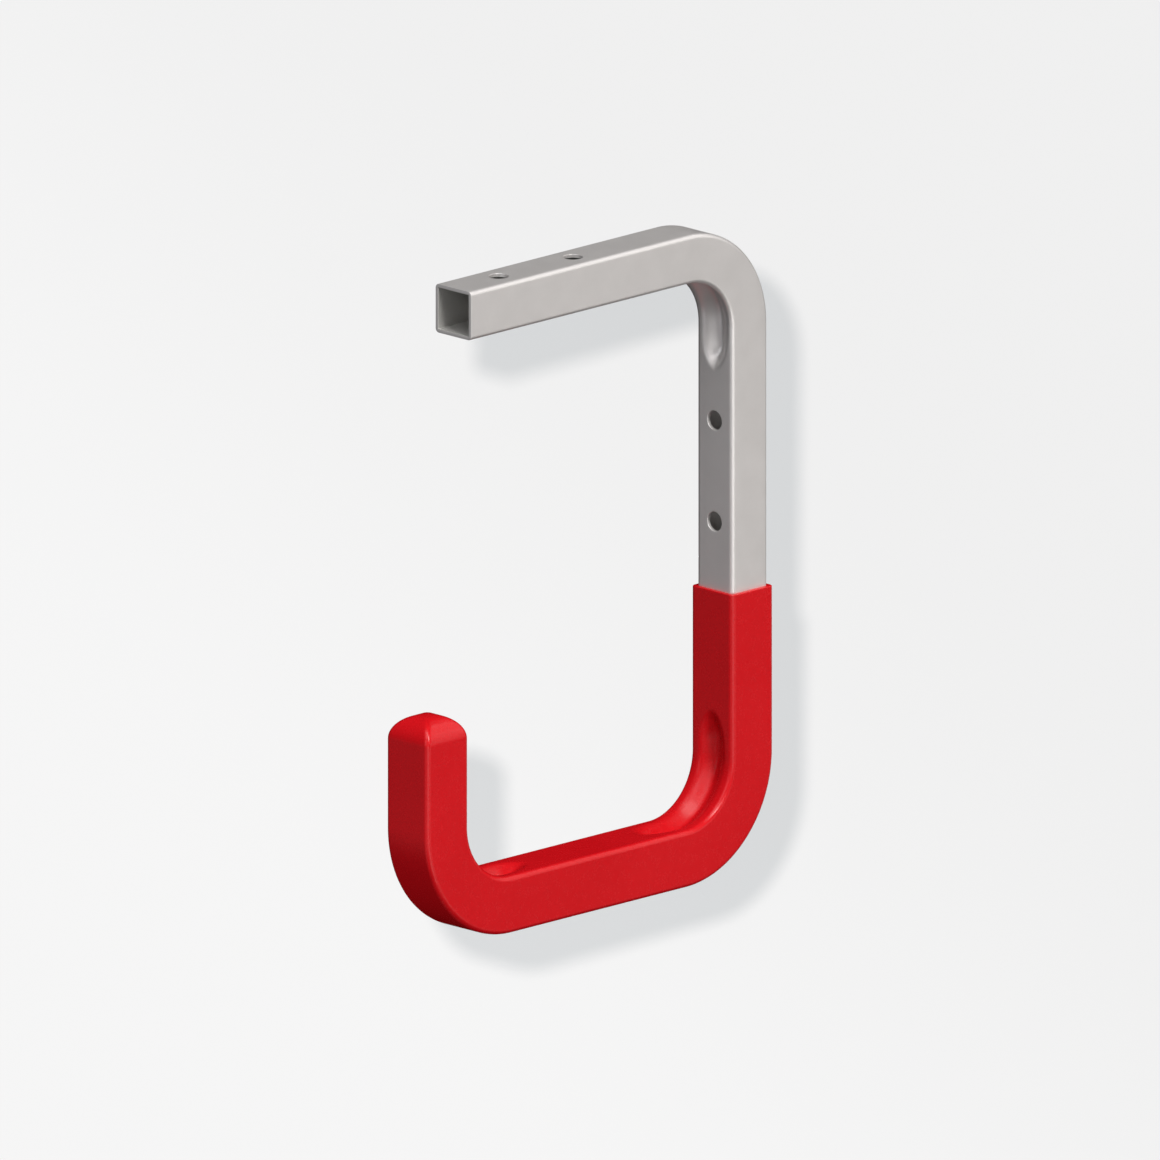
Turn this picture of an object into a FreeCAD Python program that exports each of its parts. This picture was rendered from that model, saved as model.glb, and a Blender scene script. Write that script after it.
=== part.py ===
import FreeCAD, Part
import math
import os
import Sketcher

os.makedirs("parts", exist_ok=True)

V = FreeCAD.Vector
doc = FreeCAD.newDocument("garage_utility_hook")

# ---------------------------------------------------------------------------
# Driving dimensions, millimetres. The hook hangs on a wall: +Z is up and +Y
# points into the wall. The origin is the middle of the two wall holes, on the
# tube's back face, which is the face that lies on the wall.
# ---------------------------------------------------------------------------
DIMS = [
    ("tube_side", 20.0, "outer side of the square tube"),
    ("tube_wall", 1.5, "wall thickness of the tube"),
    ("tube_edge", 1.8, "outer corner radius of the tube"),
    ("bore_edge", 0.3, "inner corner radius of the tube"),
    ("arm_reach", 166.3, "back face to the open end of the top arm"),
    ("top_level", 92.85, "centreline of the top arm above the origin"),
    ("low_level", 152.1, "centreline of the bottom arm below the origin"),
    ("throat_run", 170.8, "centreline of the wall arm to centreline of the upturn"),
    ("upturn_rise", 82.7, "top of the coated upturn above the bottom centreline"),
    ("top_bend", 33.4, "centreline radius of the top bend"),
    ("low_bend", 36.5, "centreline radius of the two lower bends"),
    ("hole_dia", 8.0, "diameter of the four fixing holes"),
    ("hole_pitch", 41.5, "distance between the holes of a pair"),
    ("arm_pair", 120.1, "back face to the middle of the pair in the top arm"),
    ("coat_thick", 1.7, "thickness of the coat"),
    ("coat_edge", 2.1, "outer corner radius of the coat"),
    ("coat_top", 48.7, "upper edge of the coat below the origin"),
    ("cap_inset", 10.8, "how far each side of the coat draws in over its closed end"),
    ("cap_height", 9.8, "height of the rounded end of the coat"),
    ("cap_tip", 0.42, "largest corner radius near the tip, as a share of the side"),
    ("cap_cover", 6.0, "coat above the cut end of the tube"),
    ("lip_break", 0.35, "rounding of the coat's upper edge"),
    ("press_back", 25.0, "top bend: inner corner to the centre of the pressed ring"),
    ("press_reach", 29.6, "top bend: outer radius of the pressed ring"),
    ("lowpress_back", 27.3, "lower bends: inner corner to the ring centre"),
    ("lowpress_reach", 31.5, "lower bends: outer radius of the pressed ring"),
    ("press_half", 8.0, "half the width of the pressed hollow in the tube"),
    ("press_rim", 4.2, "rim radius of the pressed hollow in the tube"),
    ("press_gap", 0.4, "how far the ring's rim stays off the inner face"),
    ("coatpress_reach", 29.8, "outer radius of the hollow's ring in the coat"),
    ("coatpress_half", 8.6, "half the width of the hollow in the coat"),
    ("coatpress_rim", 5.6, "rim radius of the hollow in the coat"),
    ("tool_over", 1.0, "how far cutting bodies run past a face"),
]
sheet = doc.addObject("Spreadsheet::Sheet", "dims")
sheet.set("A1", "name")
sheet.set("B1", "value")
sheet.set("C1", "meaning")
D = {}
for row, (name, value, note) in enumerate(DIMS, start=2):
    sheet.set("A%d" % row, name)
    sheet.set("B%d" % row, "%g" % value)
    sheet.set("C%d" % row, note)
    sheet.setAlias("B%d" % row, name)
    D[name] = value
doc.recompute()


# ---------------------------------------------------------------------------
# Helpers
# ---------------------------------------------------------------------------
def new_body(name):
    return doc.addObject("PartDesign::Body", name)


def plane_of(body, role):
    for feature in body.Origin.OriginFeatures:
        if feature.Role == role:
            return feature
    raise ValueError(role)


def new_sketch(body, name, role, offset=(0.0, 0.0, 0.0), bound=None):
    sk = body.newObject("Sketcher::SketchObject", name)
    sk.AttachmentSupport = [(plane_of(body, role), "")]
    sk.MapMode = "FlatFace"
    sk.AttachmentOffset = FreeCAD.Placement(V(*offset), FreeCAD.Rotation())
    for axis, text in (bound or {}).items():
        sk.setExpression("AttachmentOffset.Base.%s" % axis, text)
    return sk


def dimension(sk, constraint, name, text):
    index = sk.addConstraint(constraint)
    sk.renameConstraint(index, name)
    sk.setExpression("Constraints.%s" % name, text)


def rounded_square(sk, side, radius, side_text, radius_text):
    """Four sides and four corner arcs, centred on the sketch's origin."""
    s = side / 2.0
    k = s - radius
    pts = [(V(-k, -s, 0), V(k, -s, 0)), (V(s, -k, 0), V(s, k, 0)),
           (V(k, s, 0), V(-k, s, 0)), (V(-s, k, 0), V(-s, -k, 0))]
    corners = [(V(k, -k, 0), 270, 360), (V(k, k, 0), 0, 90),
               (V(-k, k, 0), 90, 180), (V(-k, -k, 0), 180, 270)]
    lines = [sk.addGeometry(Part.LineSegment(a, b), False) for a, b in pts]
    arcs = [sk.addGeometry(Part.ArcOfCircle(
        Part.Circle(c, V(0, 0, 1), radius), math.radians(a), math.radians(b)),
        False) for c, a, b in corners]
    for i in range(4):
        sk.addConstraint(Sketcher.Constraint("Tangent", lines[i], 2, arcs[i], 1))
        sk.addConstraint(Sketcher.Constraint(
            "Tangent", arcs[i], 2, lines[(i + 1) % 4], 1))
    sk.addConstraint(Sketcher.Constraint("Horizontal", lines[0]))
    sk.addConstraint(Sketcher.Constraint("Horizontal", lines[2]))
    sk.addConstraint(Sketcher.Constraint("Vertical", lines[1]))
    sk.addConstraint(Sketcher.Constraint("Vertical", lines[3]))
    for i in range(3):
        sk.addConstraint(Sketcher.Constraint("Equal", arcs[i], arcs[i + 1]))
    dimension(sk, Sketcher.Constraint("Radius", arcs[0], radius),
              "corner", radius_text)
    dimension(sk, Sketcher.Constraint("DistanceX", -1, 1, lines[1], 1, s),
              "right", side_text + " / 2")
    dimension(sk, Sketcher.Constraint("DistanceX", lines[3], 1, -1, 1, s),
              "left", side_text + " / 2")
    dimension(sk, Sketcher.Constraint("DistanceY", -1, 1, lines[2], 1, s),
              "high", side_text + " / 2")
    dimension(sk, Sketcher.Constraint("DistanceY", lines[0], 1, -1, 1, s),
              "low", side_text + " / 2")


# centreline points in the Y, Z plane
y_wall = -D["tube_side"] / 2.0
y_up = y_wall - D["throat_run"]
z_top = D["top_level"]
z_low = -D["low_level"]
z_cap = z_low + D["upturn_rise"]
Y_WALL = "dims.tube_side / 2"
Y_UP = "dims.tube_side / 2 + dims.throat_run"


def full_path(sk, over, over_text):
    """Centreline from the open end of the top arm to the tube's cut end."""
    rt, rl = D["top_bend"], D["low_bend"]
    y0 = -D["arm_reach"] - over
    z_end = z_cap - D["cap_cover"] + over
    l1 = sk.addGeometry(Part.LineSegment(V(y0, z_top, 0), V(y_wall - rt, z_top, 0)), False)
    a1 = sk.addGeometry(Part.ArcOfCircle(Part.Circle(V(y_wall - rt, z_top - rt, 0), V(0, 0, 1), rt), 0, math.pi / 2), False)
    l2 = sk.addGeometry(Part.LineSegment(V(y_wall, z_top - rt, 0), V(y_wall, z_low + rl, 0)), False)
    a2 = sk.addGeometry(Part.ArcOfCircle(Part.Circle(V(y_wall - rl, z_low + rl, 0), V(0, 0, 1), rl), 1.5 * math.pi, 2 * math.pi), False)
    l3 = sk.addGeometry(Part.LineSegment(V(y_wall - rl, z_low, 0), V(y_up + rl, z_low, 0)), False)
    a3 = sk.addGeometry(Part.ArcOfCircle(Part.Circle(V(y_up + rl, z_low + rl, 0), V(0, 0, 1), rl), math.pi, 1.5 * math.pi), False)
    l4 = sk.addGeometry(Part.LineSegment(V(y_up, z_low + rl, 0), V(y_up, z_end, 0)), False)
    C = Sketcher.Constraint
    for con in (C("Tangent", l1, 2, a1, 2), C("Tangent", a1, 1, l2, 1),
                C("Tangent", l2, 2, a2, 2), C("Tangent", a2, 1, l3, 1),
                C("Tangent", l3, 2, a3, 2), C("Tangent", a3, 1, l4, 1),
                C("Horizontal", l1), C("Vertical", l2),
                C("Horizontal", l3), C("Vertical", l4)):
        sk.addConstraint(con)
    dimension(sk, C("Radius", a1, rt), "top_bend", "dims.top_bend")
    dimension(sk, C("Radius", a2, rl), "right_bend", "dims.low_bend")
    dimension(sk, C("Radius", a3, rl), "left_bend", "dims.low_bend")
    dimension(sk, C("DistanceX", l1, 1, -1, 1, -y0), "reach",
              "dims.arm_reach" + over_text)
    dimension(sk, C("DistanceY", -1, 1, l1, 1, z_top), "top", "dims.top_level")
    dimension(sk, C("DistanceX", l2, 1, -1, 1, -y_wall), "wall_arm", Y_WALL)
    dimension(sk, C("DistanceY", l3, 1, -1, 1, -z_low), "low", "dims.low_level")
    dimension(sk, C("DistanceX", l4, 1, -1, 1, -y_up), "upturn", Y_UP)
    dimension(sk, C("DistanceY", l4, 2, -1, 1, -z_end), "cut_end",
              "dims.low_level - dims.upturn_rise + dims.cap_cover"
              + over_text.replace("+", "-"))


def coat_path(sk):
    """Centreline of the coated part, down to the foot of the rounded cap."""
    rl = D["low_bend"]
    z_start = -D["coat_top"]
    z_end = z_cap - D["cap_height"]
    l2 = sk.addGeometry(Part.LineSegment(V(y_wall, z_start, 0), V(y_wall, z_low + rl, 0)), False)
    a2 = sk.addGeometry(Part.ArcOfCircle(Part.Circle(V(y_wall - rl, z_low + rl, 0), V(0, 0, 1), rl), 1.5 * math.pi, 2 * math.pi), False)
    l3 = sk.addGeometry(Part.LineSegment(V(y_wall - rl, z_low, 0), V(y_up + rl, z_low, 0)), False)
    a3 = sk.addGeometry(Part.ArcOfCircle(Part.Circle(V(y_up + rl, z_low + rl, 0), V(0, 0, 1), rl), math.pi, 1.5 * math.pi), False)
    l4 = sk.addGeometry(Part.LineSegment(V(y_up, z_low + rl, 0), V(y_up, z_end, 0)), False)
    C = Sketcher.Constraint
    for con in (C("Tangent", l2, 2, a2, 2), C("Tangent", a2, 1, l3, 1),
                C("Tangent", l3, 2, a3, 2), C("Tangent", a3, 1, l4, 1),
                C("Vertical", l2), C("Horizontal", l3), C("Vertical", l4)):
        sk.addConstraint(con)
    dimension(sk, C("Radius", a2, rl), "right_bend", "dims.low_bend")
    dimension(sk, C("Radius", a3, rl), "left_bend", "dims.low_bend")
    dimension(sk, C("DistanceX", l2, 1, -1, 1, -y_wall), "wall_arm", Y_WALL)
    dimension(sk, C("DistanceY", l2, 1, -1, 1, -z_start), "start", "dims.coat_top")
    dimension(sk, C("DistanceY", l3, 1, -1, 1, -z_low), "low", "dims.low_level")
    dimension(sk, C("DistanceX", l4, 1, -1, 1, -y_up), "upturn", Y_UP)
    dimension(sk, C("DistanceY", l4, 2, -1, 1, -z_end), "cap_foot",
              "dims.low_level - dims.upturn_rise + dims.cap_height")


def pressed_hollow(body, name, centre_y, centre_z, y_text, z_text,
                   half, rim, inner, outer, half_text, rim_text,
                   inner_text, outer_text):
    """Ring-shaped cut that presses the hollow into the inside of a bend.

    The sketch lies in the X, Z plane through the ring's centre. Its closed
    outline has a level line on the ring's inner radius, a concave floor arc
    at the outer radius and two rim arcs between them, and it turns about the
    level axis through the centre.
    """
    sk = new_sketch(body, name + "_outline", "XZ_Plane",
                    (0.0, centre_z, -centre_y), {"y": z_text, "z": y_text})
    depth = outer - inner
    total = (half * half + depth * depth) / (2.0 * depth)
    angle = math.asin(half / total)
    floor = total - rim
    tx, ty = floor * math.sin(angle), outer - floor + floor * math.cos(angle)
    C = Sketcher.Constraint
    level = sk.addGeometry(Part.LineSegment(V(-half, inner, 0), V(half, inner, 0)), False)
    right = sk.addGeometry(Part.ArcOfCircle(
        Part.Circle(V(half, inner + rim, 0), V(0, 0, 1), rim),
        1.5 * math.pi - angle, 1.5 * math.pi), False)
    bottom = sk.addGeometry(Part.ArcOfCircle(
        Part.Circle(V(0, outer - floor, 0), V(0, 0, 1), floor),
        0.5 * math.pi - angle, 0.5 * math.pi + angle), False)
    left = sk.addGeometry(Part.ArcOfCircle(
        Part.Circle(V(-half, inner + rim, 0), V(0, 0, 1), rim),
        1.5 * math.pi, 1.5 * math.pi + angle), False)
    axis = sk.addGeometry(Part.LineSegment(V(-half, 0, 0), V(half, 0, 0)), True)
    for con in (C("Tangent", level, 2, right, 2), C("Tangent", right, 1, bottom, 1),
                C("Tangent", bottom, 2, left, 2), C("Tangent", left, 1, level, 1),
                C("Horizontal", level), C("Equal", right, left),
                C("PointOnObject", bottom, 3, -2), C("Horizontal", axis),
                C("PointOnObject", axis, 1, -1),
                C("Vertical", axis, 1, level, 1), C("Vertical", axis, 2, level, 2)):
        sk.addConstraint(con)
    dimension(sk, C("DistanceX", -1, 1, level, 2, half), "half_width", half_text)
    dimension(sk, C("DistanceY", -1, 1, level, 1, inner), "ring_inner", inner_text)
    dimension(sk, C("Radius", right, rim), "rim", rim_text)
    reach = sk.addGeometry(Part.Point(V(0, outer, 0)), True)
    sk.addConstraint(C("PointOnObject", reach, 1, bottom))
    sk.addConstraint(C("PointOnObject", reach, 1, -2))
    dimension(sk, C("DistanceY", -1, 1, reach, 1, outer), "ring_outer", outer_text)
    groove = body.newObject("PartDesign::Groove", name)
    groove.Profile = sk
    groove.ReferenceAxis = (sk, ["Axis0"])
    groove.Angle = 360.0
    body.Tip = groove
    doc.recompute()
    return groove


def volume(feature):
    return feature.Shape.Volume


# ---------------------------------------------------------------------------
# Outside of the tube: swept square, pressed bends and the four holes
# ---------------------------------------------------------------------------
def swept(body, path, profile, name):
    pipe = body.newObject("PartDesign::AdditivePipe", name)
    pipe.Profile = profile
    pipe.Spine = (path, [])
    pipe.Mode = "Standard"
    pipe.Transition = "Transformed"
    body.Tip = pipe
    doc.recompute()
    return pipe


QTOP_Y = y_wall - D["tube_side"] / 2.0
RING = {
    "top": (QTOP_Y - D["press_back"], z_top - D["tube_side"] / 2.0 - D["press_back"],
            "dims.tube_side + dims.press_back",
            "dims.top_level - dims.tube_side / 2 - dims.press_back"),
    "right": (QTOP_Y - D["lowpress_back"],
              z_low + D["tube_side"] / 2.0 + D["lowpress_back"],
              "dims.tube_side + dims.lowpress_back",
              "-dims.low_level + dims.tube_side / 2 + dims.lowpress_back"),
    "left": (y_up + D["tube_side"] / 2.0 + D["lowpress_back"],
             z_low + D["tube_side"] / 2.0 + D["lowpress_back"],
             "dims.throat_run - dims.lowpress_back",
             "-dims.low_level + dims.tube_side / 2 + dims.lowpress_back"),
}


def press_tube(body, prefix, wall, wall_text, rim_text_sign):
    cuts = []
    for key in ("top", "right", "left"):
        cy, cz, ty, tz = RING[key]
        back = "press_back" if key == "top" else "lowpress_back"
        reach = "press_reach" if key == "top" else "lowpress_reach"
        cuts.append(pressed_hollow(
            body, "%s_%s" % (prefix, key), cy, cz, ty, tz,
            D["press_half"], D["press_rim"] - wall,
            D[back] - D["press_gap"] + wall, D[reach] + wall,
            "dims.press_half", "dims.press_rim" + rim_text_sign,
            "dims.%s - dims.press_gap" % back + wall_text,
            "dims.%s" % reach + wall_text))
    return cuts


outer = new_body("tube_outside")
outer_path = new_sketch(outer, "outside_path", "YZ_Plane")
full_path(outer_path, 0.0, "")
outer_profile = new_sketch(outer, "outside_profile", "XZ_Plane",
                           (0.0, z_top, D["arm_reach"]),
                           {"y": "dims.top_level", "z": "dims.arm_reach"})
rounded_square(outer_profile, D["tube_side"], D["tube_edge"],
               "dims.tube_side", "dims.tube_edge")
doc.recompute()
outer_pipe = swept(outer, outer_path, outer_profile, "outside_sweep")
before = volume(outer_pipe)
press_tube(outer, "press", 0.0, "", "")

wall_holes = new_sketch(outer, "wall_hole_circles", "XZ_Plane",
                        (0.0, 0.0, -D["tool_over"]), {"z": "-dims.tool_over"})
arm_holes = new_sketch(outer, "arm_hole_circles", "XY_Plane",
                       (0.0, 0.0, z_top + D["tube_side"] / 2 + D["tool_over"]),
                       {"z": "dims.top_level + dims.tube_side / 2 + dims.tool_over"})
C = Sketcher.Constraint
for sk, ys, texts in (
        (wall_holes, (D["hole_pitch"] / 2, -D["hole_pitch"] / 2),
         ("dims.hole_pitch / 2", "dims.hole_pitch / 2")),
        (arm_holes, (-D["arm_pair"] + D["hole_pitch"] / 2,
                     -D["arm_pair"] - D["hole_pitch"] / 2),
         ("dims.arm_pair - dims.hole_pitch / 2",
          "dims.arm_pair + dims.hole_pitch / 2"))):
    for n, (v, text) in enumerate(zip(ys, texts)):
        c = sk.addGeometry(Part.Circle(V(0, v, 0), V(0, 0, 1), D["hole_dia"] / 2), False)
        sk.addConstraint(C("PointOnObject", c, 3, -2))
        dimension(sk, C("Radius", c, D["hole_dia"] / 2), "hole_%d" % n,
                  "dims.hole_dia / 2")
        if v > 0:
            dimension(sk, C("DistanceY", -1, 1, c, 3, v), "place_%d" % n, text)
        else:
            dimension(sk, C("DistanceY", c, 3, -1, 1, -v), "place_%d" % n, text)
doc.recompute()
last = outer.Tip
for sk, name, reverse in ((wall_holes, "wall_holes", True),
                          (arm_holes, "arm_holes", False)):
    pocket = outer.newObject("PartDesign::Pocket", name)
    pocket.Profile = sk
    pocket.Type = "Length"
    pocket.Length = D["tube_side"] + 2 * D["tool_over"]
    pocket.setExpression("Length", "dims.tube_side + 2 * dims.tool_over")
    pocket.Reversed = False
    outer.Tip = pocket
    doc.recompute()
    if abs(volume(last) - volume(pocket)) < 100.0:
        pocket.Reversed = True
        doc.recompute()
    print(name, "cuts", round(volume(last) - volume(pocket), 1))
    last = pocket

# ---------------------------------------------------------------------------
# Bore of the tube, kept clear of the pressed bends so the wall stays even
# ---------------------------------------------------------------------------
bore = new_body("tube_bore")
bore_path = new_sketch(bore, "bore_path", "YZ_Plane")
full_path(bore_path, D["tool_over"], " + dims.tool_over")
bore_profile = new_sketch(bore, "bore_profile", "XZ_Plane",
                          (0.0, z_top, D["arm_reach"] + D["tool_over"]),
                          {"y": "dims.top_level",
                           "z": "dims.arm_reach + dims.tool_over"})
rounded_square(bore_profile, D["tube_side"] - 2 * D["tube_wall"], D["bore_edge"],
               "(dims.tube_side - 2 * dims.tube_wall)", "dims.bore_edge")
doc.recompute()
bore_pipe = swept(bore, bore_path, bore_profile, "bore_sweep")
bore_before = volume(bore_pipe)
press_tube(bore, "relief", D["tube_wall"], " + dims.tube_wall", " - dims.tube_wall")

tube = doc.addObject("Part::Cut", "steel_tube_cut")
tube.Base = outer
tube.Tool = bore
tube.Label = "steel_tube"
doc.recompute()

# ---------------------------------------------------------------------------
# Coat over the lower part, closed over the upturn
# ---------------------------------------------------------------------------
coat_side = D["tube_side"] + 2 * D["coat_thick"]
COAT_SIDE = "(dims.tube_side + 2 * dims.coat_thick)"
coat = new_body("coat_outside")
coat_spine = new_sketch(coat, "coat_path", "YZ_Plane")
coat_path(coat_spine)
coat_profile = new_sketch(coat, "coat_profile", "XY_Plane",
                          (0.0, y_wall, -D["coat_top"]),
                          {"y": "-dims.tube_side / 2", "z": "-dims.coat_top"})
rounded_square(coat_profile, coat_side, D["coat_edge"], COAT_SIDE, "dims.coat_edge")
doc.recompute()
coat_pipe = swept(coat, coat_spine, coat_profile, "coat_sweep")

steps = 8
sections = []
for n in range(steps + 1):
    turn = 90.0 * n / steps
    side = coat_side - 2 * D["cap_inset"] * (1 - math.cos(math.radians(turn)))
    level = z_cap - D["cap_height"] * (1 - math.sin(math.radians(turn)))
    sk = new_sketch(coat, "cap_section_%d" % n, "XY_Plane", (0.0, y_up, level), {
        "y": "-(%s)" % Y_UP,
        "z": "-dims.low_level + dims.upturn_rise"
             " - dims.cap_height * (1 - sin(%g deg))" % turn})
    side_text = "(%s - 2 * dims.cap_inset * (1 - cos(%g deg)))" % (COAT_SIDE, turn)
    rounded_square(sk, side, min(D["coat_edge"], D["cap_tip"] * side), side_text,
                   "min(dims.coat_edge; dims.cap_tip * %s)" % side_text)
    sections.append(sk)
doc.recompute()
cap = coat.newObject("PartDesign::AdditiveLoft", "rounded_cap")
cap.Profile = sections[0]
cap.Sections = sections[1:]
cap.Ruled = False
coat.Tip = cap
doc.recompute()

coat_before = volume(cap)
for key in ("right", "left"):
    cy, cz, ty, tz = RING[key]
    inner = D["lowpress_back"] - D["coat_thick"] - D["press_gap"]
    pressed_hollow(
        coat, "coat_press_%s" % key, cy, cz, ty, tz,
        D["coatpress_half"], D["coatpress_rim"], inner, D["coatpress_reach"],
        "dims.coatpress_half", "dims.coatpress_rim",
        "dims.lowpress_back - dims.coat_thick - dims.press_gap",
        "dims.coatpress_reach")

# small break along the coat's upper edge
pressed = coat.Tip
rim_edges = []
for n, edge in enumerate(pressed.Shape.Edges, start=1):
    box = edge.BoundBox
    if abs(box.ZMin + D["coat_top"]) < 1e-4 and abs(box.ZMax + D["coat_top"]) < 1e-4:
        rim_edges.append("Edge%d" % n)
lip = coat.newObject("PartDesign::Fillet", "upper_edge")
lip.Base = (pressed, rim_edges)
lip.Radius = D["lip_break"]
lip.setExpression("Radius", "dims.lip_break")
coat.Tip = lip
doc.recompute()

grip = doc.addObject("Part::Cut", "grip_coat_cut")
grip.Base = coat
grip.Tool = outer
grip.Label = "grip_coat"
doc.recompute()

# ---------------------------------------------------------------------------
# Every feature has to be sound before anything is written
# ---------------------------------------------------------------------------
for obj in doc.Objects:
    if "Invalid" in obj.State or "Error" in obj.State:
        raise RuntimeError("%s: %s" % (obj.Name, obj.State))
print("outside", round(before, 1), "->", round(volume(outer), 1))
print("bore", round(bore_before, 1), "->", round(volume(bore), 1))
print("coat", round(coat_before, 1), "->", round(volume(coat), 1),
      "rim edges", len(rim_edges))
if not volume(outer) < before - 500 or not volume(bore) < bore_before - 500:
    raise RuntimeError("the bends aren't pressed")
if not volume(coat) < coat_before - 500:
    raise RuntimeError("the coat's bends aren't pressed")

for obj in (tube, grip):
    shape = obj.Shape
    if shape.isNull() or not shape.isValid() or len(shape.Solids) != 1:
        raise RuntimeError("%s: null %s valid %s solids %d" % (
            obj.Label, shape.isNull(), shape.isValid(), len(shape.Solids)))
    box = shape.BoundBox
    print(obj.Label, "volume", round(shape.Volume, 1), "faces", len(shape.Faces),
          "box", [round(v, 2) for v in (box.XMin, box.XMax, box.YMin, box.YMax,
                                        box.ZMin, box.ZMax)])
    shape.exportStep(os.path.join("parts", obj.Label + ".step"))
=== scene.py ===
import math

import bmesh
import bpy
import numpy as np
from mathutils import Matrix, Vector


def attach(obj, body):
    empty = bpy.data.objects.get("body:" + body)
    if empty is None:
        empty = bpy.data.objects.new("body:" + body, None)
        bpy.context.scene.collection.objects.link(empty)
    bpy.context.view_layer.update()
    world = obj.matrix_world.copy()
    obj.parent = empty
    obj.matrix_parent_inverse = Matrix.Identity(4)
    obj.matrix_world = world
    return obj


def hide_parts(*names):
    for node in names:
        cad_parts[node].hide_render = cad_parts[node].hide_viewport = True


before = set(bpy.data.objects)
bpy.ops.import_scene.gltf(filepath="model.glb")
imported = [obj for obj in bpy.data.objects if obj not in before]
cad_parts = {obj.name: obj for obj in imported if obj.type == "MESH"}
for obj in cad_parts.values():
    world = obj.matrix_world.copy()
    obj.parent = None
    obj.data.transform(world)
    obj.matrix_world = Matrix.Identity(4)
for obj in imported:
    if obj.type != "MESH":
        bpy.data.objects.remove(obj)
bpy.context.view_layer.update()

# ---------------------------------------------------------------------------
# Dimensions, metres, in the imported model's frame: +Z up, +Y into the wall,
# origin between the wall holes on the back face of the tube
# ---------------------------------------------------------------------------
MM = 0.001
TUBE = 20.0 * MM
WALL = 1.5 * MM
EDGE = 1.8 * MM
BORE_EDGE = 0.3 * MM
COAT = 1.7 * MM
COAT_SIDE = TUBE + 2 * COAT
COAT_EDGE = 2.1 * MM
ARM_REACH = 166.3 * MM
Z_TOP = 92.85 * MM
Z_LOW = -152.1 * MM
Y_WALL = -TUBE / 2
Y_UP = Y_WALL - 170.8 * MM
R_TOP = 33.4 * MM
R_LOW = 36.5 * MM
Z_CAP = Z_LOW + 82.7 * MM
CAP_ROUND = 10.8 * MM
CAP_RISE = 9.8 * MM
Z_CUT = Z_LOW + 76.7 * MM
Z_COAT = -48.7 * MM
HOLE_R = 4.0 * MM
PITCH = 41.5 * MM
ARM_PAIR = -120.1 * MM

X_AXIS = np.array((1.0, 0.0, 0.0))


# ---------------------------------------------------------------------------
# Centreline: straight runs and arcs. A station holds its point, the direction
# towards the inside of the bends, and its distance along the line.
# ---------------------------------------------------------------------------
def centreline():
    """Pieces from the open end of the top arm to the tube's cut end."""
    return [
        ("line", (-ARM_REACH, Z_TOP), (Y_WALL - R_TOP, Z_TOP)),
        ("arc", (Y_WALL - R_TOP, Z_TOP - R_TOP), R_TOP, 90.0),
        ("line", (Y_WALL, Z_TOP - R_TOP), (Y_WALL, Z_LOW + R_LOW)),
        ("arc", (Y_WALL - R_LOW, Z_LOW + R_LOW), R_LOW, 0.0),
        ("line", (Y_WALL - R_LOW, Z_LOW), (Y_UP + R_LOW, Z_LOW)),
        ("arc", (Y_UP + R_LOW, Z_LOW + R_LOW), R_LOW, -90.0),
        ("line", (Y_UP, Z_LOW + R_LOW), (Y_UP, Z_CAP)),
    ]


def piece_lengths():
    out = []
    for p in centreline():
        if p[0] == "line":
            out.append(math.hypot(p[2][0] - p[1][0], p[2][1] - p[1][1]))
        else:
            out.append(p[2] * math.pi / 2)
    return out


LENGTHS = piece_lengths()
STARTS = [sum(LENGTHS[:i]) for i in range(len(LENGTHS) + 1)]


def station(s):
    """(centre point, inward normal) at distance s along the centreline."""
    pieces = centreline()
    i = 0
    while i < len(pieces) - 1 and s > STARTS[i + 1] + 1e-12:
        i += 1
    p, u = pieces[i], s - STARTS[i]
    if p[0] == "line":
        (ya, za), (yb, zb) = p[1], p[2]
        length = math.hypot(yb - ya, zb - za)
        ty, tz = (yb - ya) / length, (zb - za) / length
        centre = np.array((0.0, ya + ty * u, za + tz * u))
        return centre, np.array((0.0, tz, -ty))
    angle = math.radians(p[3]) - u / p[2]
    out = np.array((0.0, math.cos(angle), math.sin(angle)))
    centre = np.array((0.0, p[1][0], p[1][1])) + out * p[2]
    return centre, -out


def s_at_z_wall(z):
    return STARTS[2] + (Z_TOP - R_TOP - z)


def s_at_z_up(z):
    return STARTS[6] + (z - (Z_LOW + R_LOW))


def stations(s0, s1, fine, coarse, margin):
    """Distances from s0 to s1: close together in the bends and the hollows."""
    cuts = {s0, s1}
    for i in (1, 3, 5):
        for s in (STARTS[i] - margin, STARTS[i], STARTS[i + 1],
                  STARTS[i + 1] + margin):
            if s0 < s < s1:
                cuts.add(s)
    cuts = sorted(cuts)
    out = [cuts[0]]
    for a, b in zip(cuts, cuts[1:]):
        mid = (a + b) / 2
        near = any(STARTS[i] - margin < mid < STARTS[i + 1] + margin
                   for i in (1, 3, 5))
        n = max(1, math.ceil((b - a) / (fine if near else coarse)))
        out += [a + (b - a) * k / n for k in range(1, n + 1)]
    return out


# ---------------------------------------------------------------------------
# Pressed hollows on the inside of the bends
# ---------------------------------------------------------------------------
def smooth(t):
    t = min(max(t, 0.0), 1.0)
    return t * t * t * (t * (6.0 * t - 15.0) + 10.0)


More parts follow.
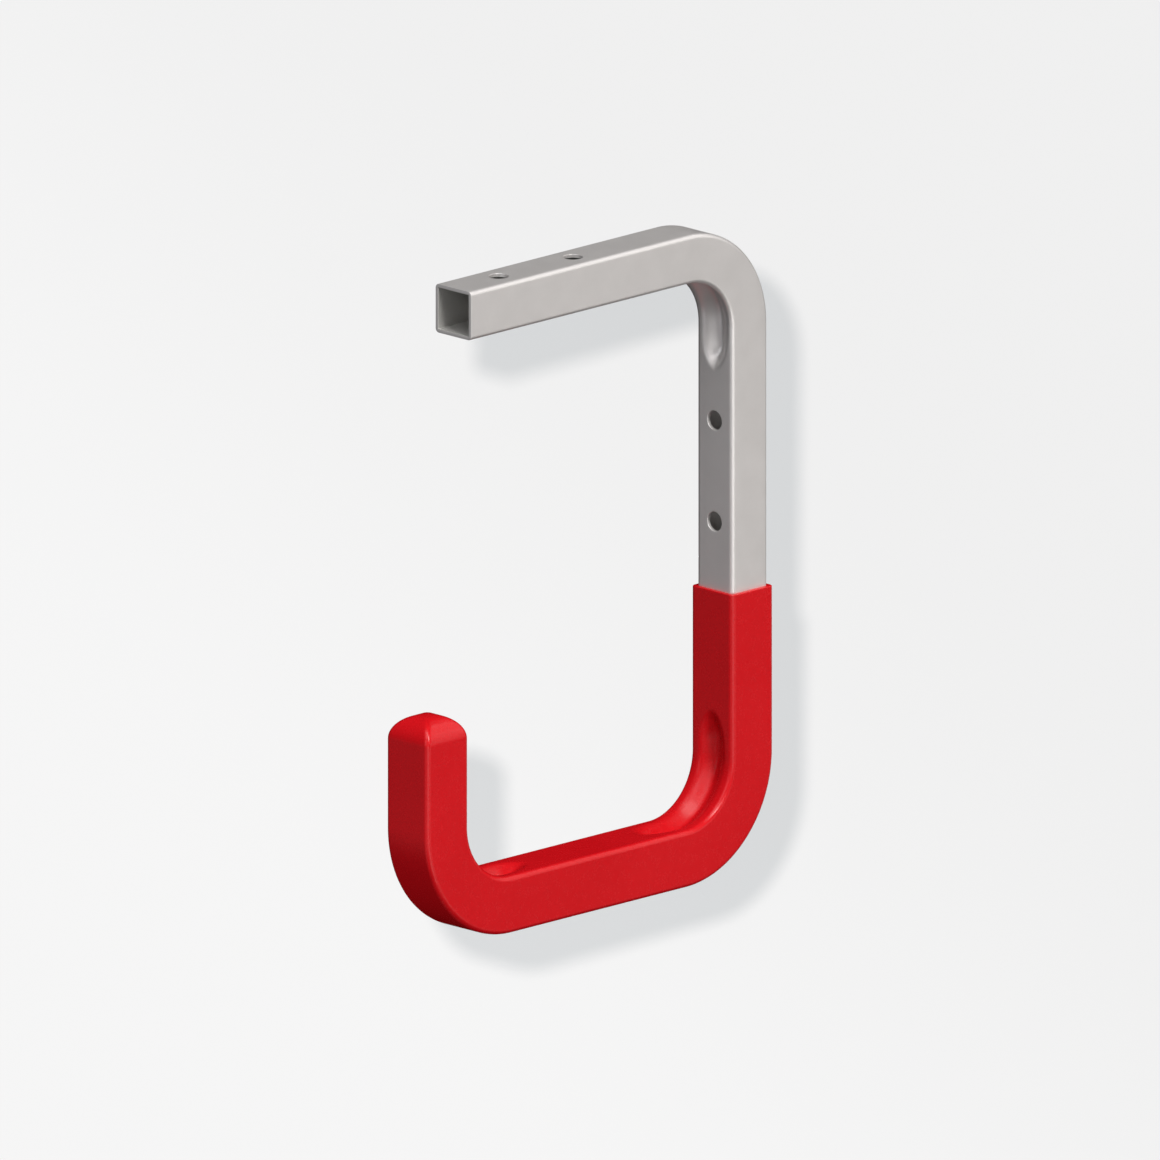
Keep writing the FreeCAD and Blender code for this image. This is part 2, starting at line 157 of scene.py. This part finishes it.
def hollow(s, x, bend, depth, half, reach, ramp, taper, deeper, blunt, keen):
    """How far the inner face is pressed in at distance s and offset x."""
    s0, s1 = STARTS[bend], STARTS[bend + 1]
    past = max(s0 - s, s - s1, 0.0)
    if past >= reach:
        return 0.0
    narrow = max(past - (reach - taper), 0.0) / taper
    across = abs(x) / (half * math.sqrt(1.0 - narrow * narrow))
    if across >= 1.0:
        return 0.0
    along = max(past - (reach - ramp), 0.0) / ramp
    mid = 1.0 - abs((s - (s0 + s1) / 2) / ((s1 - s0) / 2 + reach))
    amount = depth * (1.0 + deeper * smooth(max(mid, 0.0)))
    return (amount * (0.5 + 0.5 * math.cos(math.pi * across ** keen))
            * (0.5 + 0.5 * math.cos(math.pi * along ** blunt)))


STEEL_PRESS = {
    1: dict(depth=4.9 * MM, half=8.3 * MM, reach=18.4 * MM, ramp=11.0 * MM,
            taper=18.0 * MM, deeper=-0.14, blunt=1.3, keen=0.85),
    3: dict(depth=4.5 * MM, half=7.9 * MM, reach=18.0 * MM, ramp=13.0 * MM,
            taper=17.0 * MM, deeper=-0.08, blunt=1.2, keen=0.9),
    5: dict(depth=4.5 * MM, half=7.9 * MM, reach=18.0 * MM, ramp=13.0 * MM,
            taper=17.0 * MM, deeper=-0.08, blunt=1.2, keen=0.9),
}
COAT_PRESS = {
    3: dict(depth=4.4 * MM, half=8.2 * MM, reach=18.8 * MM, ramp=14.0 * MM,
            taper=18.0 * MM, deeper=-0.22, blunt=1.2, keen=0.85),
    5: dict(depth=4.4 * MM, half=8.2 * MM, reach=18.8 * MM, ramp=14.0 * MM,
            taper=18.0 * MM, deeper=-0.22, blunt=1.2, keen=0.85),
}


def pressed(s, x, table):
    return max(hollow(s, x, bend, **p) for bend, p in table.items())


# ---------------------------------------------------------------------------
# Cross-section: a square with round corners. Each point is (x, n), n towards
# the inside of the bends, and the inner side is cut finely for the hollows.
# ---------------------------------------------------------------------------
def section(side, radius, arcs=6, inner=44, other=6):
    h, k = side / 2, side / 2 - radius
    pts = []
    # the inner side, n = +h, from -x to +x
    for i in range(inner):
        pts.append((-k + 2 * k * i / inner, h))
    for i in range(arcs):
        a = math.pi / 2 - math.pi / 2 * i / arcs
        pts.append((k + radius * math.cos(a), k + radius * math.sin(a)))
    for i in range(other):
        pts.append((h, k - 2 * k * i / other))
    for i in range(arcs):
        a = -math.pi / 2 * i / arcs
        pts.append((k + radius * math.cos(a), -k + radius * math.sin(a)))
    for i in range(other):
        pts.append((k - 2 * k * i / other, -h))
    for i in range(arcs):
        a = -math.pi / 2 - math.pi / 2 * i / arcs
        pts.append((-k + radius * math.cos(a), -k + radius * math.sin(a)))
    for i in range(other):
        pts.append((-h, -k + 2 * k * i / other))
    for i in range(arcs):
        a = math.pi - math.pi / 2 * i / arcs
        pts.append((-k + radius * math.cos(a), k + radius * math.sin(a)))
    return pts


def ring_at(s, pts, table=None, half=None):
    """World points of a section at distance s, pressed in where it should be."""
    centre, inward = station(s)
    ring = []
    for x, n in pts:
        if table and half is not None and n > half - 1e-7:
            n = n - pressed(s, x, table)
        ring.append(centre + X_AXIS * x + inward * n)
    return ring


class Shell:
    """A mesh built ring by ring."""

    def __init__(self):
        self.verts = []
        self.faces = []
        self.last = None
        self.first = None

    def add_ring(self, ring):
        base = len(self.verts)
        self.verts.extend(ring)
        ids = list(range(base, base + len(ring)))
        if self.last is not None:
            n = len(ids)
            for i in range(n):
                j = (i + 1) % n
                self.faces.append((self.last[i], self.last[j], ids[j], ids[i]))
        if self.first is None:
            self.first = ids
        self.last = ids
        return ids

    def cap(self, ids, flip=False):
        self.faces.append(tuple(reversed(ids)) if flip else tuple(ids))


def mesh_object(name, verts, faces):
    mesh = bpy.data.meshes.new(name)
    mesh.from_pydata([tuple(v) for v in verts], [], faces)
    mesh.validate()
    bm = bmesh.new()
    bm.from_mesh(mesh)
    bmesh.ops.recalc_face_normals(bm, faces=bm.faces)
    bm.to_mesh(mesh)
    bm.free()
    ob = bpy.data.objects.new(name, mesh)
    bpy.context.scene.collection.objects.link(ob)
    return ob


# ---------------------------------------------------------------------------
# The steel tube
# ---------------------------------------------------------------------------
def build_tube():
    shell = Shell()
    end = s_at_z_up(Z_CUT)
    outer = section(TUBE, EDGE)
    inner_half = TUBE / 2 - WALL
    bore = section(TUBE - 2 * WALL, BORE_EDGE)
    line = stations(0.0, end, 0.75 * MM, 5.0 * MM, 21.0 * MM)

    def shrink(pts, side, by):
        """The same section, taken in by the given amount all round."""
        h = side / 2
        out = []
        for x, n in pts:
            k = max(abs(x), abs(n))
            f = (h - by) / h
            out.append((x * f, n * f))
        return out

    # rim of the open end: a small break on both edges
    brk = 0.18 * MM
    steps = 3
    for i in range(steps):
        a = math.pi / 2 * i / steps
        by = brk * (1 - math.sin(a))
        centre, inward = station(0.0)
        push = brk * (1 - math.cos(a))
        ring = [centre + X_AXIS * x + inward * n + np.array((0.0, push, 0.0))
                for x, n in shrink(outer, TUBE, by)]
        shell.add_ring(ring)
    for s in line:
        if 0.0 < s < brk * 2:
            continue
        if s == 0.0:
            s = brk
        shell.add_ring(ring_at(s, outer, STEEL_PRESS, TUBE / 2))
    outer_last = shell.last
    outer_first = shell.first

    inside = Shell()
    inside.verts = shell.verts
    inside.faces = shell.faces
    for i in range(steps):
        a = math.pi / 2 * i / steps
        by = -brk * (1 - math.sin(a))
        push = brk * (1 - math.cos(a))
        centre, inward = station(0.0)
        ring = [centre + X_AXIS * x + inward * n + np.array((0.0, push, 0.0))
                for x, n in shrink(bore, TUBE - 2 * WALL, by)]
        inside.add_ring(ring)
    for s in line:
        if 0.0 < s < brk * 2:
            continue
        if s == 0.0:
            s = brk
        inside.add_ring(ring_at(s, bore, STEEL_PRESS, inner_half))
    n = len(outer_last)
    for i in range(n):
        j = (i + 1) % n
        shell.faces.append((outer_first[j], outer_first[i],
                            inside.first[i], inside.first[j]))
        shell.faces.append((outer_last[i], outer_last[j],
                            inside.last[j], inside.last[i]))
    return mesh_object("hook_tube", shell.verts, shell.faces)


def hole_cutter(name, centre, axis):
    """A drill body through both walls, flared a little at each outer face."""
    flare = 0.22 * MM
    half = TUBE / 2
    prof = [(-half - 2 * MM, HOLE_R + flare)]
    for i in range(6):
        a = math.pi / 2 * i / 5
        prof.append((-half + flare * (1 - math.cos(a)),
                     HOLE_R + flare * (1 - math.sin(a))))
    prof += [(-z, r) for z, r in reversed(prof)]
    seg = 64
    z_dir = Vector(axis).normalized()
    x_dir = Vector((1, 0, 0))
    y_dir = z_dir.cross(x_dir)
    verts, faces = [], []
    for z, r in prof:
        for k in range(seg):
            t = 2 * math.pi * k / seg
            p = (Vector(centre) + z_dir * z + x_dir * (r * math.cos(t))
                 + y_dir * (r * math.sin(t)))
            verts.append(tuple(p))
    for i in range(len(prof) - 1):
        for k in range(seg):
            j = (k + 1) % seg
            faces.append((i * seg + k, i * seg + j,
                          (i + 1) * seg + j, (i + 1) * seg + k))
    faces.append(tuple(reversed(range(seg))))
    faces.append(tuple(range((len(prof) - 1) * seg, len(prof) * seg)))
    return mesh_object(name, verts, faces)


def apply_modifiers(ob):
    dg = bpy.context.evaluated_depsgraph_get()
    dg.update()
    mesh = bpy.data.meshes.new_from_object(ob.evaluated_get(dg))
    ob.modifiers.clear()
    old = ob.data
    ob.data = mesh
    bpy.data.meshes.remove(old)


def cut(ob, cutters):
    for c in cutters:
        mod = ob.modifiers.new("cut", "BOOLEAN")
        mod.operation = "DIFFERENCE"
        mod.solver = "EXACT"
        mod.object = c
    apply_modifiers(ob)
    for c in cutters:
        data = c.data
        bpy.data.objects.remove(c)
        bpy.data.meshes.remove(data)


def finish_normals(ob, angle=32.0):
    """Smooth faces with crisp edges where the surface really turns."""
    mesh = ob.data
    for poly in mesh.polygons:
        poly.use_smooth = True
    bm = bmesh.new()
    bm.from_mesh(mesh)
    limit = math.radians(angle)
    for e in bm.edges:
        if len(e.link_faces) == 2:
            e.smooth = e.calc_face_angle(0.0) < limit
    bm.to_mesh(mesh)
    bm.free()
    mod = ob.modifiers.new("weighted", "WEIGHTED_NORMAL")
    mod.mode = "FACE_AREA"
    mod.weight = 50
    mod.keep_sharp = True
    apply_modifiers(ob)


tube = build_tube()
cut(tube, [
    hole_cutter("c0", (0, -TUBE / 2, PITCH / 2), (0, 1, 0)),
    hole_cutter("c1", (0, -TUBE / 2, -PITCH / 2), (0, 1, 0)),
    hole_cutter("c2", (0, ARM_PAIR + PITCH / 2, Z_TOP), (0, 0, 1)),
    hole_cutter("c3", (0, ARM_PAIR - PITCH / 2, Z_TOP), (0, 0, 1)),
])
finish_normals(tube)


# ---------------------------------------------------------------------------
# The coat
# ---------------------------------------------------------------------------
def build_coat():
    shell = Shell()
    s0 = s_at_z_wall(Z_COAT)
    foot = s_at_z_up(Z_CAP - CAP_RISE)
    line = stations(s0, foot, 0.75 * MM, 5.0 * MM, 21.0 * MM)
    outer = section(COAT_SIDE, COAT_EDGE, arcs=7)
    # upper edge: a soft break outside, then the coat's narrow top face
    brk = 0.35 * MM
    h = COAT_SIDE / 2
    for i in range(4):
        a = math.pi / 2 * i / 4
        f = (h - brk * (1 - math.sin(a))) / h
        centre, inward = station(s0)
        drop = brk * (1 - math.cos(a))
        ring = [centre + X_AXIS * x * f + inward * n * f - np.array((0, 0, drop))
                for x, n in outer]
        shell.add_ring(ring)
    top_ring = shell.first
    for s in line:
        if s < s0 + 1.5 * brk:
            s = s0 + brk if s <= s0 else None
        if s is None:
            continue
        shell.add_ring(ring_at(s, outer, COAT_PRESS, h))
    # rounded cap over the upturn
    steps = 30
    z_foot = Z_CAP - CAP_RISE
    for i in range(1, steps + 1):
        t = math.pi / 2 * i / steps
        side = COAT_SIDE - 2 * CAP_ROUND * (1 - math.cos(t))
        radius = min(COAT_EDGE, 0.42 * side)
        z = z_foot + CAP_RISE * math.sin(t)
        pts = section(side, radius, arcs=7)
        ring = [np.array((x, Y_UP + n, z)) for x, n in pts]
        shell.add_ring(ring)
    # close the small flat on top of the cap with shrinking rings
    last = section(COAT_SIDE - 2 * CAP_ROUND,
                   0.42 * (COAT_SIDE - 2 * CAP_ROUND), arcs=7)
    for f in (0.7, 0.4, 0.15):
        shell.add_ring([np.array((x * f, Y_UP + n * f, Z_CAP)) for x, n in last])
    shell.cap(shell.last)

    # inside: the tube's outer form with a hair's gap, closed over its cut end
    gap = 0.02 * MM
    inside = Shell()
    inside.verts, inside.faces = shell.verts, shell.faces
    inner = section(TUBE + 2 * gap, EDGE, arcs=7)
    for s in stations(s0, s_at_z_up(Z_CUT + gap), 1.6 * MM, 8.0 * MM, 21.0 * MM):
        inside.add_ring(ring_at(s, inner, STEEL_PRESS, TUBE / 2 + gap))
    inside.cap(inside.last, True)
    n = len(top_ring)
    for i in range(n):
        j = (i + 1) % n
        shell.faces.append((top_ring[j], top_ring[i],
                            inside.first[i], inside.first[j]))
    return mesh_object("hook_coat", shell.verts, shell.faces)


coat = build_coat()
finish_normals(coat, 40.0)


# ---------------------------------------------------------------------------
# Materials
# ---------------------------------------------------------------------------
class Nodes:
    def __init__(self, name):
        self.mat = bpy.data.materials.new(name)
        self.mat.use_nodes = True
        self.tree = self.mat.node_tree
        self.tree.nodes.clear()
        self.out = self.tree.nodes.new("ShaderNodeOutputMaterial")
        self.bsdf = self.tree.nodes.new("ShaderNodeBsdfPrincipled")
        self.link(self.bsdf.outputs[0], self.out.inputs[0])

    def link(self, a, b):
        self.tree.links.new(a, b)

    def new(self, kind, **props):
        n = self.tree.nodes.new(kind)
        for k, v in props.items():
            setattr(n, k, v)
        return n

    def coords(self, scale=(1, 1, 1)):
        tc = self.new("ShaderNodeTexCoord")
        mp = self.new("ShaderNodeMapping")
        mp.inputs["Scale"].default_value = scale
        self.link(tc.outputs["Object"], mp.inputs["Vector"])
        return mp.outputs["Vector"]

    def noise(self, vector, scale, detail=3.0, rough=0.55, distortion=0.0):
        n = self.new("ShaderNodeTexNoise")
        n.inputs["Scale"].default_value = scale
        n.inputs["Detail"].default_value = detail
        n.inputs["Roughness"].default_value = rough
        n.inputs["Distortion"].default_value = distortion
        self.link(vector, n.inputs["Vector"])
        return n.outputs["Fac"]

    def span(self, value, a, b, lo, hi, smooth=False):
        n = self.new("ShaderNodeMapRange")
        if smooth:
            n.interpolation_type = "SMOOTHSTEP"
        n.inputs["From Min"].default_value = a
        n.inputs["From Max"].default_value = b
        n.inputs["To Min"].default_value = lo
        n.inputs["To Max"].default_value = hi
        self.link(value, n.inputs["Value"])
        return n.outputs["Result"]

    def math(self, op, a, b=None):
        n = self.new("ShaderNodeMath", operation=op)
        for i, v in enumerate((a, b)):
            if v is None:
                continue
            if isinstance(v, (int, float)):
                n.inputs[i].default_value = v
            else:
                self.link(v, n.inputs[i])
        return n.outputs[0]

    def mix(self, fac, a, b):
        n = self.new("ShaderNodeMix", data_type="RGBA")
        for i, v in ((0, fac), (6, a), (7, b)):
            if isinstance(v, (int, float)):
                n.inputs[i].default_value = v
            elif isinstance(v, tuple):
                n.inputs[i].default_value = v
            else:
                self.link(v, n.inputs[i])
        return n.outputs[2]


def steel_material():
    m = Nodes("zinc_nickel_steel")
    base = m.coords()
    grain = m.noise(base, 2600.0, 2.0, 0.6)
    mottle = m.noise(base, 120.0, 4.0, 0.55)
    cloud = m.noise(base, 18.0, 3.0, 0.5)
    drawn = m.noise(m.coords((1.0, 0.02, 0.02)), 900.0, 2.0, 0.5)
    tone = m.math("ADD", m.span(mottle, 0.3, 0.7, -0.5, 0.5),
                  m.span(cloud, 0.3, 0.7, -0.5, 0.5))
    colour = m.mix(m.span(tone, -1.0, 1.0, 0.0, 1.0),
                   (0.735, 0.716, 0.700, 1.0), (0.785, 0.766, 0.750, 1.0))
    # painted shade: the bore of the top arm, a recess where shade falls, is painted a darker
    # grey than the outside
    place = m.new("ShaderNodeSeparateXYZ")
    m.link(m.new("ShaderNodeTexCoord").outputs["Object"], place.inputs[0])
    across = m.math("ABSOLUTE", place.outputs["X"])
    above = m.math("ABSOLUTE", m.math("SUBTRACT", place.outputs["Z"], Z_TOP))
    inside = m.math("MULTIPLY",
                    m.span(m.math("MAXIMUM", across, above), 8.55 * MM, 8.80 * MM, 1.0, 0.0),
                    m.span(place.outputs["Y"], Y_WALL - R_TOP - 12.0 * MM,
                           Y_WALL - R_TOP, 1.0, 0.0))
    # mix the painted bore shade over the steel's own tone
    colour = m.mix(inside, colour, (0.57, 0.565, 0.54, 1.0))
    m.link(colour, m.bsdf.inputs["Base Color"])
    m.bsdf.inputs["Metallic"].default_value = 0.5
    rough = m.math("ADD", m.span(mottle, 0.3, 0.7, 0.34, 0.38),
                   m.span(grain, 0.3, 0.7, -0.02, 0.02))
    m.link(rough, m.bsdf.inputs["Roughness"])
    height = m.math("ADD", m.math("MULTIPLY", grain, 0.7),
                    m.math("MULTIPLY", drawn, 0.3))
    bump = m.new("ShaderNodeBump")
    bump.inputs["Strength"].default_value = 0.10
    bump.inputs["Distance"].default_value = 0.00006
    m.link(height, bump.inputs["Height"])
    m.link(bump.outputs["Normal"], m.bsdf.inputs["Normal"])
    return m.mat


def coat_material():
    m = Nodes("red_vinyl_coat")
    base = m.coords()
    fine = m.noise(base, 1500.0, 2.0, 0.5)
    peel = m.noise(base, 260.0, 3.0, 0.5)
    cloud = m.noise(base, 16.0, 3.0, 0.5)
    colour = m.mix(m.span(cloud, 0.3, 0.7, 0.0, 1.0),
                   (0.575, 0.0055, 0.0095, 1.0), (0.625, 0.0075, 0.0120, 1.0))
    m.link(colour, m.bsdf.inputs["Base Color"])
    m.bsdf.inputs["Metallic"].default_value = 0.0
    m.bsdf.inputs["Specular IOR Level"].default_value = 0.30
    rough = m.math("ADD", m.span(peel, 0.3, 0.7, 0.24, 0.28),
                   m.span(fine, 0.3, 0.7, -0.02, 0.02))
    m.link(rough, m.bsdf.inputs["Roughness"])
    height = m.math("ADD", m.math("MULTIPLY", peel, 0.8),
                    m.math("MULTIPLY", fine, 0.2))
    bump = m.new("ShaderNodeBump")
    bump.inputs["Strength"].default_value = 0.10
    bump.inputs["Distance"].default_value = 0.00012
    m.link(height, bump.inputs["Height"])
    m.link(bump.outputs["Normal"], m.bsdf.inputs["Normal"])
    return m.mat


steel_mat = steel_material()
coat_mat = coat_material()
for ob, mat in ((tube, steel_mat), (coat, coat_mat)):
    ob.data.materials.clear()
    ob.data.materials.append(mat)

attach(tube, "root")
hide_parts("steel_tube")
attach(coat, "root")
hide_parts("grip_coat")


# ---------------------------------------------------------------------------
# Stage: a pale floor well below the hanging hook, and a pale backdrop behind
# it, square to the view
# ---------------------------------------------------------------------------
AZ, EL = math.radians(45.0), math.radians(15.0)
RIGHT = Vector((math.cos(AZ), math.sin(AZ), 0.0))
UP = Vector((-math.sin(AZ) * math.sin(EL), math.cos(AZ) * math.sin(EL), math.cos(EL)))
BACK = Vector((math.sin(AZ) * math.cos(EL), -math.cos(AZ) * math.cos(EL), math.sin(EL)))
AIM = RIGHT * -0.06740 + UP * -0.04685


def stage_material(name, low, high):
    """Matt and pale, with a painted light falloff: a little lighter towards the lower left
    of the backdrop.
    """
    m = Nodes(name)
    place = m.new("ShaderNodeTexCoord").outputs["Object"]
    along = m.new("ShaderNodeVectorMath", operation="DOT_PRODUCT")
    along.inputs[1].default_value = RIGHT + UP
    m.link(place, along.inputs[0])
    # painted light falloff: the sheet's colour is lighter towards the lower left, as if more
    # light fell there
    painted_light_falloff = m.span(m.math("SUBTRACT", along.outputs["Value"], AIM.dot(RIGHT + UP)),
                  -0.27, 0.20, 1.0, 0.0, smooth=True)
    fleck = m.noise(m.coords(), 40.0, 4.0, 0.6)
    painted_falloff_and_fleck = m.math("ADD", m.math("MULTIPLY", painted_light_falloff, 0.96),
                  m.span(fleck, 0.3, 0.7, 0.0, 0.04))
    m.link(m.mix(painted_falloff_and_fleck, low + (1.0,), high + (1.0,)), m.bsdf.inputs["Base Color"])
    m.bsdf.inputs["Roughness"].default_value = 0.9
    m.bsdf.inputs["Specular IOR Level"].default_value = 0.0
    return m.mat


def sheet_mesh(name, centre, u, v, mat):
    verts = [centre - u - v, centre + u - v, centre + u + v, centre - u + v]
    mesh = bpy.data.meshes.new(name)
    mesh.from_pydata([tuple(p) for p in verts], [], [(0, 1, 2, 3)])
    ob = bpy.data.objects.new(name, mesh)
    bpy.context.scene.collection.objects.link(ob)
    mesh.materials.append(mat)
    # the sheets show and catch shadows, and throw no light back at the hook
    ob.visible_diffuse = False
    ob.visible_glossy = False
    ob.visible_shadow = False
    return ob


pale = stage_material("pale_matt", (0.785, 0.785, 0.785), (0.832, 0.832, 0.832))
backdrop = sheet_mesh("backdrop", AIM - BACK * 0.75, RIGHT * 1.3, UP * 1.3, pale)
floor = sheet_mesh("floor", Vector((0.0, -0.1, -1.1)), Vector((1.3, 0, 0)),
                   Vector((0, 1.3, 0)), pale)


# ---------------------------------------------------------------------------
# Light: large soft lamps, and one small frontal lamp that puts the soft shadow
# on the backdrop
# ---------------------------------------------------------------------------
world = bpy.data.worlds.new("studio")
bpy.context.scene.world = world
world.use_nodes = True
surround = world.node_tree.nodes["Background"]
surround.inputs["Color"].default_value = (0.87, 0.87, 0.87, 1.0)
surround.inputs["Strength"].default_value = 1.0
# the pale surround shows in every view; the lamps alone light the hook
world.cycles_visibility.diffuse = False
world.cycles_visibility.glossy = False
world.cycles_visibility.transmission = False
world.cycles_visibility.scatter = False


def sun(name, towards, strength, width, colour=(1.0, 1.0, 1.0)):
    """A soft lamp in the given direction from the hook, width degrees across."""
    lamp = bpy.data.lights.new(name, "SUN")
    lamp.energy = strength
    lamp.angle = math.radians(width)
    lamp.color = colour
    ob = bpy.data.objects.new(name, lamp)
    bpy.context.scene.collection.objects.link(ob)
    ob.rotation_mode = "QUATERNION"
    ob.rotation_quaternion = Vector(towards).normalized().to_track_quat("Z", "Y")
    return ob


SUNS = [
    ((0.679, -0.150, 0.719), 1.370, 12.0, (1.000, 0.973, 0.959)),
    ((0.299, -0.190, 0.935), 0.544, 24.0, (1.000, 0.984, 0.981)),
    ((0.543, -0.081, 0.836), 0.527, 12.0, (1.000, 0.974, 0.958)),
    ((0.021, -0.240, 0.971), 0.364, 24.0, (1.000, 0.996, 1.006)),
    ((0.896, -0.119, 0.428), 0.340, 12.0, (1.000, 0.969, 0.951)),
    ((0.886, -0.102, -0.453), 0.276, 24.0, (1.000, 0.969, 0.950)),
    ((0.152, -0.673, 0.724), 0.261, 24.0, (1.000, 1.001, 1.035)),
    ((0.204, -0.436, 0.876), 0.216, 24.0, (1.000, 0.995, 1.014)),
    ((0.306, -0.824, 0.476), 0.210, 24.0, (1.000, 0.999, 1.032)),
    ((0.821, -0.560, -0.112), 0.179, 24.0, (1.000, 0.981, 0.984)),
    ((0.539, 0.783, 0.312), 0.167, 24.0, (1.000, 0.973, 0.954)),
    ((0.860, 0.510, 0.006), 0.161, 24.0, (1.000, 0.968, 0.947)),
    ((-0.077, -0.982, 0.171), 0.150, 24.0, (1.000, 1.007, 1.053)),
    ((0.133, 0.775, 0.618), 0.148, 24.0, (1.000, 0.986, 0.974)),
    ((-0.189, -0.364, 0.912), 0.133, 24.0, (1.000, 0.999, 1.020)),
    ((0.949, -0.240, -0.206), 0.133, 24.0, (1.000, 0.971, 0.957)),
    ((0.827, 0.402, -0.394), 0.127, 24.0, (1.000, 0.969, 0.948)),
    ((0.557, 0.614, 0.559), 0.125, 24.0, (1.000, 0.973, 0.954)),
    ((0.662, -0.701, -0.265), 0.111, 24.0, (1.000, 0.988, 1.002)),
    ((0.721, 0.674, 0.159), 0.086, 24.0, (1.000, 0.970, 0.950)),
    ((0.457, -0.859, 0.229), 0.079, 24.0, (1.000, 0.996, 1.024)),
    ((0.178, -0.929, -0.324), 0.069, 24.0, (1.000, 1.004, 1.044)),
    ((0.349, 0.609, 0.712), 0.068, 24.0, (1.000, 0.978, 0.962)),
    ((0.835, -0.418, -0.359), 0.067, 24.0, (1.000, 0.977, 0.974)),
    ((0.324, 0.928, -0.182), 0.062, 24.0, (1.000, 0.979, 0.963)),
    ((-0.023, -0.879, -0.476), 0.054, 24.0, (1.000, 1.006, 1.050)),
    ((-0.029, 0.637, 0.771), 0.049, 24.0, (1.000, 0.990, 0.980)),
    ((-0.253, -0.703, 0.665), 0.048, 24.0, (1.000, 1.005, 1.043)),
    ((0.927, -0.372, 0.041), 0.041, 24.0, (1.000, 0.975, 0.967)),
    ((0.737, -0.662, 0.135), 0.040, 24.0, (1.000, 0.985, 0.995)),
    ((0.334, 0.820, 0.465), 0.036, 24.0, (1.000, 0.978, 0.962)),
    ((0.606, 0.628, -0.488), 0.035, 24.0, (1.000, 0.972, 0.952)),
    ((-0.191, -0.888, 0.418), 0.026, 24.0, (1.000, 1.006, 1.050)),
    ((-0.636, -0.715, -0.288), 0.017, 24.0, (1.000, 1.005, 1.044)),
    ((0.599, -0.704, 0.382), 0.012, 24.0, (1.000, 0.989, 1.006)),
    ((-0.484, -0.864, -0.135), 0.010, 24.0, (1.000, 1.006, 1.049)),
]
suns = [sun("soft_%d" % i, *row) for i, row in enumerate(SUNS)]
# two lamps for the faces that turn away from the main view
rear = [sun("rear_side", (-0.80, 0.55, -0.22), 2.2, 20.0, (1.0, 0.985, 0.970)),
        sun("rear_back", (-0.50, 0.82, -0.26), 0.7, 20.0, (0.985, 0.995, 1.0))]
# a weak lamp under the coat
under = sun("under", (-0.10, -0.14, -0.98), 0.36, 30.0, (1.0, 0.99, 0.98))
# these three give matt light only, so that they draw no glare along the edges
for lamp in rear + [under]:
    lamp.visible_glossy = False
# the sheets have lamps of their own: an even wash without shadows, and a small
# frontal lamp that throws the hook's soft shadow on the backdrop
front = sun("front", BACK - RIGHT * 0.0178 + UP * 0.0178, 0.795, 0.62, (1.0, 0.932, 0.893))
wash = sun("wash", BACK + Vector((0.0, 0.0, 0.35)), 2.89, 20.0, (0.969, 0.989, 1.0))
wash.data.use_shadow = False


def light_only(lamps, lit, name):
    group = bpy.data.collections.new(name)
    for ob in lit:
        group.objects.link(ob)
    for lamp in lamps:
        lamp.light_linking.receiver_collection = group


light_only(suns + rear, (tube, coat), "lit_hook")
light_only((under,), (coat,), "lit_coat")
light_only((front, wash), (backdrop, floor), "lit_sheets")

# ---------------------------------------------------------------------------
# Camera
# ---------------------------------------------------------------------------
cam_data = bpy.data.cameras.new("camera")
cam_data.type = "ORTHO"
cam_data.ortho_scale = 0.4595
cam_data.clip_start = 0.01
cam_data.clip_end = 10.0
cam = bpy.data.objects.new("camera", cam_data)
bpy.context.scene.collection.objects.link(cam)
cam.location = AIM + BACK * 1.0
cam.rotation_mode = "QUATERNION"
cam.rotation_quaternion = BACK.to_track_quat("Z", "Y")
bpy.context.scene.camera = cam

bpy.context.scene.view_settings.view_transform = "Standard"
